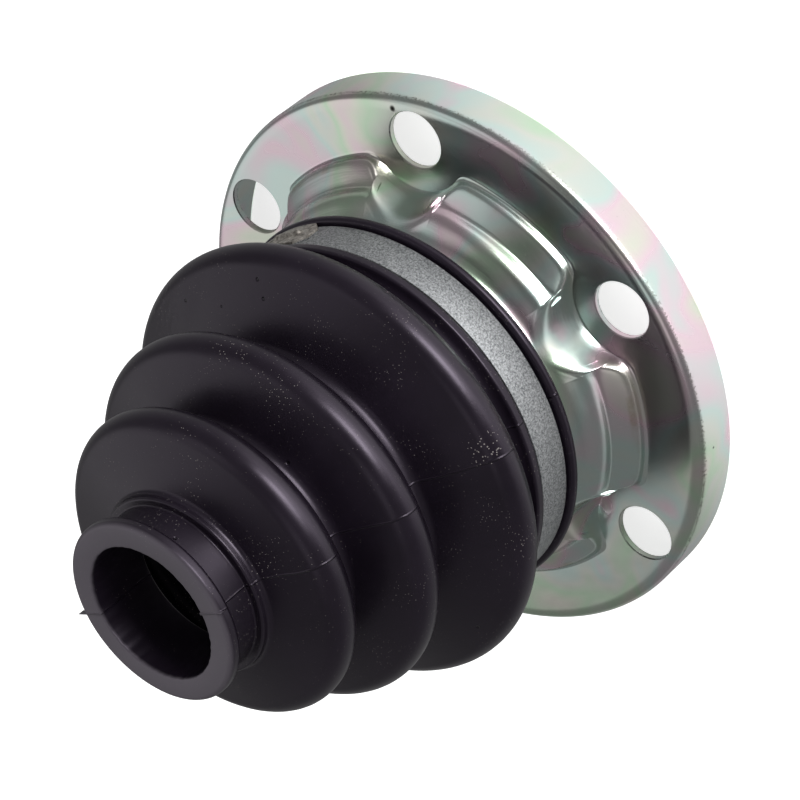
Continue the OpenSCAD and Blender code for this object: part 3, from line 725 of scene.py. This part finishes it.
# White studio: the world is the background, and the floor keeps a soft shadow
studio = {
    "fill": 0.8, "backdrop": 1.0, "floorGlow": 0.72, "floorPaint": "#f2f2f2",
    # Painted pool of key light on the floor: a glow that only reflections see, not light from the key
    # panel
    "paintedPool": {"x": -0.25, "y": -0.065, "reach": 0.13, "strength": 12.0},
    # Key panel
    "key": {"azimuth": 198.0, "elevation": 8.0, "distance": 0.9, "wide": 0.5, "high": 0.28,
            "radiance": 15.0},
    # Tent of black felt round the part, seen only in reflections, with windows of different strength in it
    "tent": {"radius": 1.5, "clear": 0.0003, "middle": 0.04, "leak": 0.2},
    "windows": [
        {"azimuth": 191.0, "elevation": -40.0, "open": 10.0, "soft": 50.0, "level": 0.52},
        {"azimuth": 347.0, "elevation": 42.0, "open": 16.0, "soft": 16.0, "level": 0.9},
        {"azimuth": 285.0, "elevation": 55.0, "open": 9.0, "soft": 13.0, "level": 0.8},
        {"azimuth": 147.0, "elevation": 66.0, "open": 7.0, "soft": 11.0, "level": 0.8},
        {"azimuth": 194.0, "elevation": 40.0, "open": 12.0, "soft": 14.0, "level": 0.08},
        {"azimuth": 235.0, "elevation": 79.0, "open": 5.0, "soft": 8.0, "level": 0.1},
    ],
}


def direction(azimuth, elevation):
    return Vector((cosd(elevation) * cosd(azimuth), cosd(elevation) * sind(azimuth), sind(elevation)))


def rayMix(tree, outputNames):
    # One where the ray is of any of these kinds
    path = addNode(tree, "LightPath")
    seen = path.outputs[outputNames[0]]
    for name in outputNames[1:]:
        seen = addNode(tree, "Math", {"operation": "MAXIMUM"}, {0: seen, 1: path.outputs[name]}).outputs[0]
    return seen


seenRays = ["Is Camera Ray", "Is Glossy Ray", "Is Transmission Ray"]
world = bpy.data.worlds.new("studio")
bpy.context.scene.world = world
world.use_nodes = True
tree = world.node_tree
tree.nodes.clear()
seen = rayMix(tree, seenRays)
fill = addNode(tree, "Background", {"Color": hexColour("#ffffff"), "Strength": studio["fill"]})
backdrop = addNode(tree, "Background", {"Color": hexColour("#ffffff"), "Strength": studio["backdrop"]})
mixed = addNode(tree, "MixShader", links={0: seen, 1: fill.outputs[0], 2: backdrop.outputs[0]})
addNode(tree, "OutputWorld", links={"Surface": mixed.outputs[0]})

bpy.ops.object.select_all(action="DESELECT")
bpy.ops.mesh.primitive_plane_add(size=6)
floor = newPiece("studioFloor")
floorMaterial, tree = newMaterial("studioFloorWhite")
seen = rayMix(tree, seenRays)
paintedPool = studio["paintedPool"]
# The floor's glow for glossy rays rises round one spot: a painted pool of light
where = addNode(tree, "TexCoord")
away = addNode(tree, "VectorMath", {"operation": "DISTANCE", 1: (paintedPool["x"], paintedPool["y"], 0)},
               {0: where.outputs["Object"]})
away = addNode(tree, "Math", {"operation": "DIVIDE", 1: paintedPool["reach"]}, {0: away.outputs["Value"]})
away = addNode(tree, "Math", {"operation": "MULTIPLY_ADD", 2: 1.0},
               {0: away.outputs[0], 1: away.outputs[0]})
away = addNode(tree, "Math", {"operation": "POWER", 1: -2.0}, {0: away.outputs[0]})
floorGlowAndPaintedPool = addNode(tree, "Math", {"operation": "MULTIPLY", 1: paintedPool["strength"]}, {0: away.outputs[0]})
floorGlowAndPaintedPool = addNode(tree, "Math", {"operation": "MULTIPLY_ADD", 2: studio["floorGlow"]},
              {0: floorGlowAndPaintedPool.outputs[0], 1: rayMix(tree, ["Is Glossy Ray"])})
paint = addNode(tree, "BsdfDiffuse", {"Color": hexColour(studio["floorPaint"])})
glow = addNode(tree, "Emission", {"Color": hexColour("#ffffff")}, {"Strength": floorGlowAndPaintedPool.outputs[0]})
both = addNode(tree, "AddShader", links={0: paint.outputs[0], 1: glow.outputs[0]})
mixed = addNode(tree, "MixShader", links={0: seen, 1: paint.outputs[0], 2: both.outputs[0]})
addNode(tree, "OutputMaterial", links={"Surface": mixed.outputs[0]})
floor.data.materials.append(floorMaterial)

key = studio["key"]
toKey = direction(key["azimuth"], key["elevation"])
bpy.ops.object.light_add(type="AREA")
keyPanel = bpy.context.active_object
keyPanel.name = "keyPanel"
keyPanel.data.shape = "RECTANGLE"
keyPanel.data.size, keyPanel.data.size_y = key["wide"], key["high"]
keyPanel.data.energy = key["radiance"] * math.pi * key["wide"] * key["high"]
turn = toKey.to_track_quat("Z", "Y").to_matrix().to_4x4()
keyPanel.matrix_world = Matrix.Translation(toKey * key["distance"]) @ turn

tent = studio["tent"]
bpy.ops.object.select_all(action="DESELECT")
bpy.ops.mesh.primitive_uv_sphere_add(segments=96, ring_count=48, radius=tent["radius"])
blackTent = newPiece("blackTent")
for vertex in blackTent.data.vertices:
    vertex.co.z = max(vertex.co.z, tent["clear"])
tentMaterial, tree = newMaterial("blackFelt")
where = addNode(tree, "TexCoord")
toward = addNode(tree, "VectorMath", {"operation": "SUBTRACT", 1: (0, 0, tent["middle"])},
                 {0: where.outputs["Object"]})
toward = addNode(tree, "VectorMath", {"operation": "NORMALIZE"}, {0: toward.outputs[0]})
opened = addNode(tree, "Value").outputs[0]
opened.default_value = tent["leak"]
for window in studio["windows"]:
    facing = addNode(tree, "VectorMath", {
        "operation": "DOT_PRODUCT", 1: direction(window["azimuth"],
                                                 window["elevation"])}, {0: toward.outputs[0]})
    edge = addNode(tree, "MapRange", {
        "interpolation_type": "SMOOTHSTEP", "From Min": cosd(window["open"] + window["soft"]),
        "From Max": cosd(window["open"])}, {"Value": facing.outputs["Value"]})
    opened = addNode(tree, "Mix", {3: window["level"]}, {0: edge.outputs[0], 2: opened}).outputs[0]
felt = addNode(tree, "Emission", {"Color": hexColour("#000000"), "Strength": 0.0})
clear = addNode(tree, "BsdfTransparent")
mixed = addNode(tree, "MixShader", links={0: opened, 1: felt.outputs[0], 2: clear.outputs[0]})
addNode(tree, "OutputMaterial", links={"Surface": mixed.outputs[0]})
blackTent.data.materials.append(tentMaterial)
blackTent.visible_camera = blackTent.visible_diffuse = blackTent.visible_shadow = False

bpy.context.scene.view_settings.view_transform = "Standard"
print("scene done")
